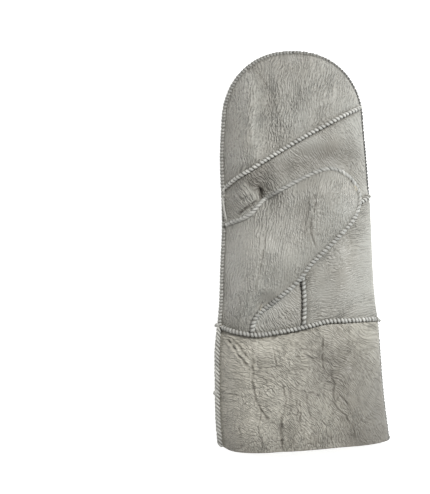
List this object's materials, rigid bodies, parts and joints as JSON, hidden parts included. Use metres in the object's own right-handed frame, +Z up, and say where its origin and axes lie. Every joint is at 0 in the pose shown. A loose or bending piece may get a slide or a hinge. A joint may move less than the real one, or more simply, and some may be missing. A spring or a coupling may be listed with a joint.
{
  "type": "leather mitten",
  "caption": "Long-cuffed shearling leather mitten for the left hand, lying palm up with the thumb folded over the palm and raised whipped seams.",
  "frame": {"origin": "centre of the bounding box in plan, on the floor", "axes": "+X from the thumb's side to the little finger's side, +Y from the hem to the fingertips, +Z up out of the palm"},
  "size_m": [0.1338, 0.3052, 0.0493],
  "materials": {
    "leather": "soft grey nappa with a slight sheen, clipped wool inside",
    "seam": "raised leather edge whipped with grey thread"
  },
  "bodies": {
    "root": {"finger_panel": "leather", "middle_panel": "leather", "palm_panel": "leather", "thumb_face_panel": "leather", "thumb_back_panel": "leather", "cuff_face_panel": "leather", "back_panel": "leather", "cuff_back_panel": "leather", "finger_seam": "seam", "thumb_seam": "seam", "palm_seam": "seam", "gusset_seam": "seam", "cuff_face_seam": "seam", "cuff_back_seam": "seam", "hand_side_seam": "seam", "cuff_left_seam": "seam", "cuff_right_seam": "seam"}
  },
  "joints": []
}
